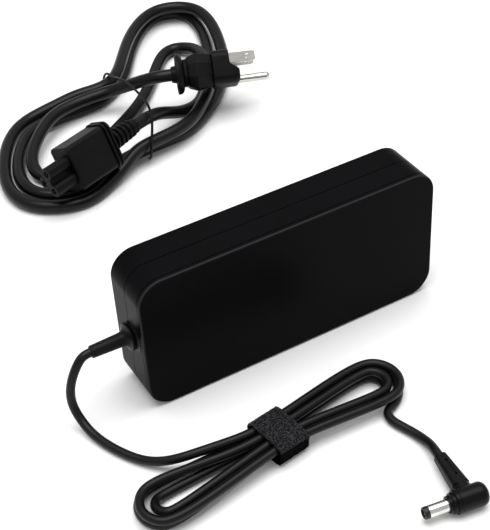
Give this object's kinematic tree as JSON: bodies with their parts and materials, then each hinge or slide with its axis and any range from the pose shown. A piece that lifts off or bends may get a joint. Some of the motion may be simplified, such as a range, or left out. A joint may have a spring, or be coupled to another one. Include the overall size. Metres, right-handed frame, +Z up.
{
  "type": "laptop power adapter",
  "caption": "Slim two-shell power brick with a fixed, strapped DC cord and angled barrel plug, and a separate folded mains lead.",
  "frame": {"origin": "middle of the narrow face that the case stands on, on the parting line", "axes": "+X along the case to the mains inlet, +Y away from the large front face, +Z up"},
  "size_m": [0.2257, 0.4495, 0.072],
  "materials": {
    "case_plastic": "fine satin texture",
    "inlet_plastic": "satin",
    "pin_metal": "nickel plated",
    "boot_rubber": "satin",
    "board_laminate": "solder resist",
    "amber_film": "film",
    "aluminium_sheet": "mill finish",
    "thermal_rubber": "soft",
    "black_epoxy": "moulded",
    "can_sleeve": "shrink sleeve",
    "ferrite": "sintered",
    "powder_core": "coated",
    "winding_copper": "enamelled",
    "winding_tape": "tape",
    "blue_ceramic": "dipped",
    "fuse_ceramic": "ceramic",
    "thermistor_coat": "dipped",
    "wire_insulation": "smooth",
    "cord_jacket": "satin",
    "strap_fabric": "hook and loop",
    "plug_plastic": "satin",
    "barrel_nickel": "polished",
    "insulator_plastic": "moulded",
    "contact_brass": "plated",
    "mains_jacket": "satin",
    "mains_moulding": "satin",
    "tie_plastic": "smooth"
  },
  "bodies": {
    "adapter": {"front_shell": "case_plastic", "back_shell": "case_plastic", "inlet_housing": "inlet_plastic", "inlet_pins": "pin_metal", "cord_grommet": "boot_rubber", "circuit_board": "board_laminate", "insulation_sheet": "amber_film", "heat_spreader": "aluminium_sheet", "thermal_pads": "thermal_rubber", "primary_heatsink": "aluminium_sheet", "secondary_heatsink": "aluminium_sheet", "bridge_rectifier": "black_epoxy", "primary_transistors": "black_epoxy", "output_rectifiers": "black_epoxy", "bulk_capacitor": "can_sleeve", "transformer_core": "ferrite", "transformer_winding": "winding_tape", "pfc_inductor_core": "ferrite", "pfc_inductor_winding": "winding_copper", "line_choke_core": "ferrite", "line_choke_windings": "winding_copper", "filter_capacitor": "winding_tape", "safety_capacitors": "blue_ceramic", "fuse": "fuse_ceramic", "thermistor": "thermistor_coat", "output_capacitors": "can_sleeve", "output_inductor_core": "powder_core", "output_inductor_winding": "winding_copper", "optocoupler": "black_epoxy", "control_chip": "black_epoxy", "inlet_leads": "wire_insulation", "output_leads": "wire_insulation", "dc_cord_tail": "cord_jacket", "dc_cord_hank": "cord_jacket", "dc_cord_lead": "cord_jacket", "cord_strap": "strap_fabric", "dc_plug_boot": "boot_rubber", "dc_plug_body": "plug_plastic", "dc_plug_barrel": "barrel_nickel", "dc_plug_insulator": "insulator_plastic", "dc_plug_contact": "contact_brass"},
    "mains_lead": {"mains_connector": "mains_moulding", "connector_contacts": "contact_brass", "connector_relief": "mains_moulding", "mains_cord_hank": "mains_jacket", "lead_tie": "tie_plastic", "mains_plug_collar": "mains_moulding", "mains_plug_grip": "mains_moulding", "mains_plug_block": "mains_moulding", "line_blade": "pin_metal", "neutral_blade": "pin_metal", "earth_pin": "pin_metal"}
  },
  "joints": [
    {"name": "mains_lead_lift", "type": "slide", "parent": "adapter", "child": "mains_lead", "axis": [0, 0, 1], "range_m": [0, 0.12]}
  ]
}
